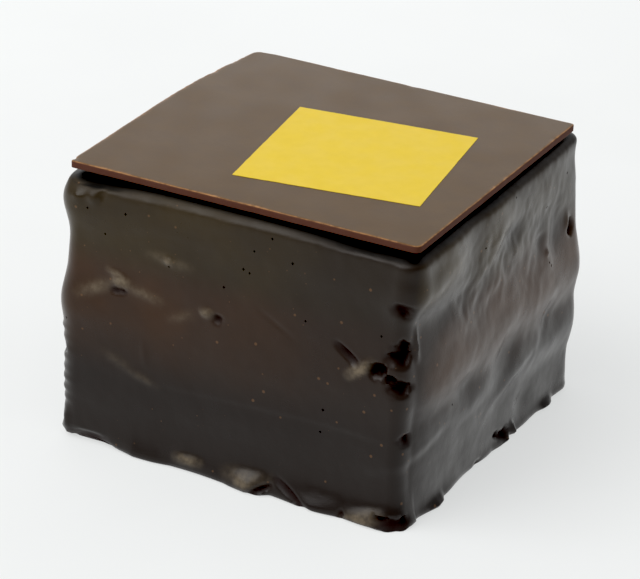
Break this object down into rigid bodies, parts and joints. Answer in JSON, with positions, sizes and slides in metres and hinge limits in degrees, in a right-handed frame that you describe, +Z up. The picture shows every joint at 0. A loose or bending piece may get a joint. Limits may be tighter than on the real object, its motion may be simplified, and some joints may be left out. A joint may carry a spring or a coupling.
{
  "type": "chocolate cake",
  "caption": "Single-portion block cake enrobed in dark chocolate, with a thin chocolate plaque on top and a yellow square on the plaque. Stands on its flat underside.",
  "frame": {"origin": "middle, on the ground, of the box that the whole cake fills", "axes": "+Z up, -Y out of the wide front face, +X out of the right-hand face"},
  "size_m": [0.065, 0.0626, 0.0473],
  "materials": {
    "chocolate_coating": "satin dark chocolate, set over the cake",
    "plaque_chocolate": "smooth tempered dark chocolate, matt brown at its broken rim",
    "yellow_cocoa_butter": "thin even film, soft sheen"
  },
  "bodies": {
    "root": {"cake_body": "chocolate_coating", "chocolate_plaque": "plaque_chocolate", "yellow_square": "yellow_cocoa_butter"}
  },
  "joints": []
}
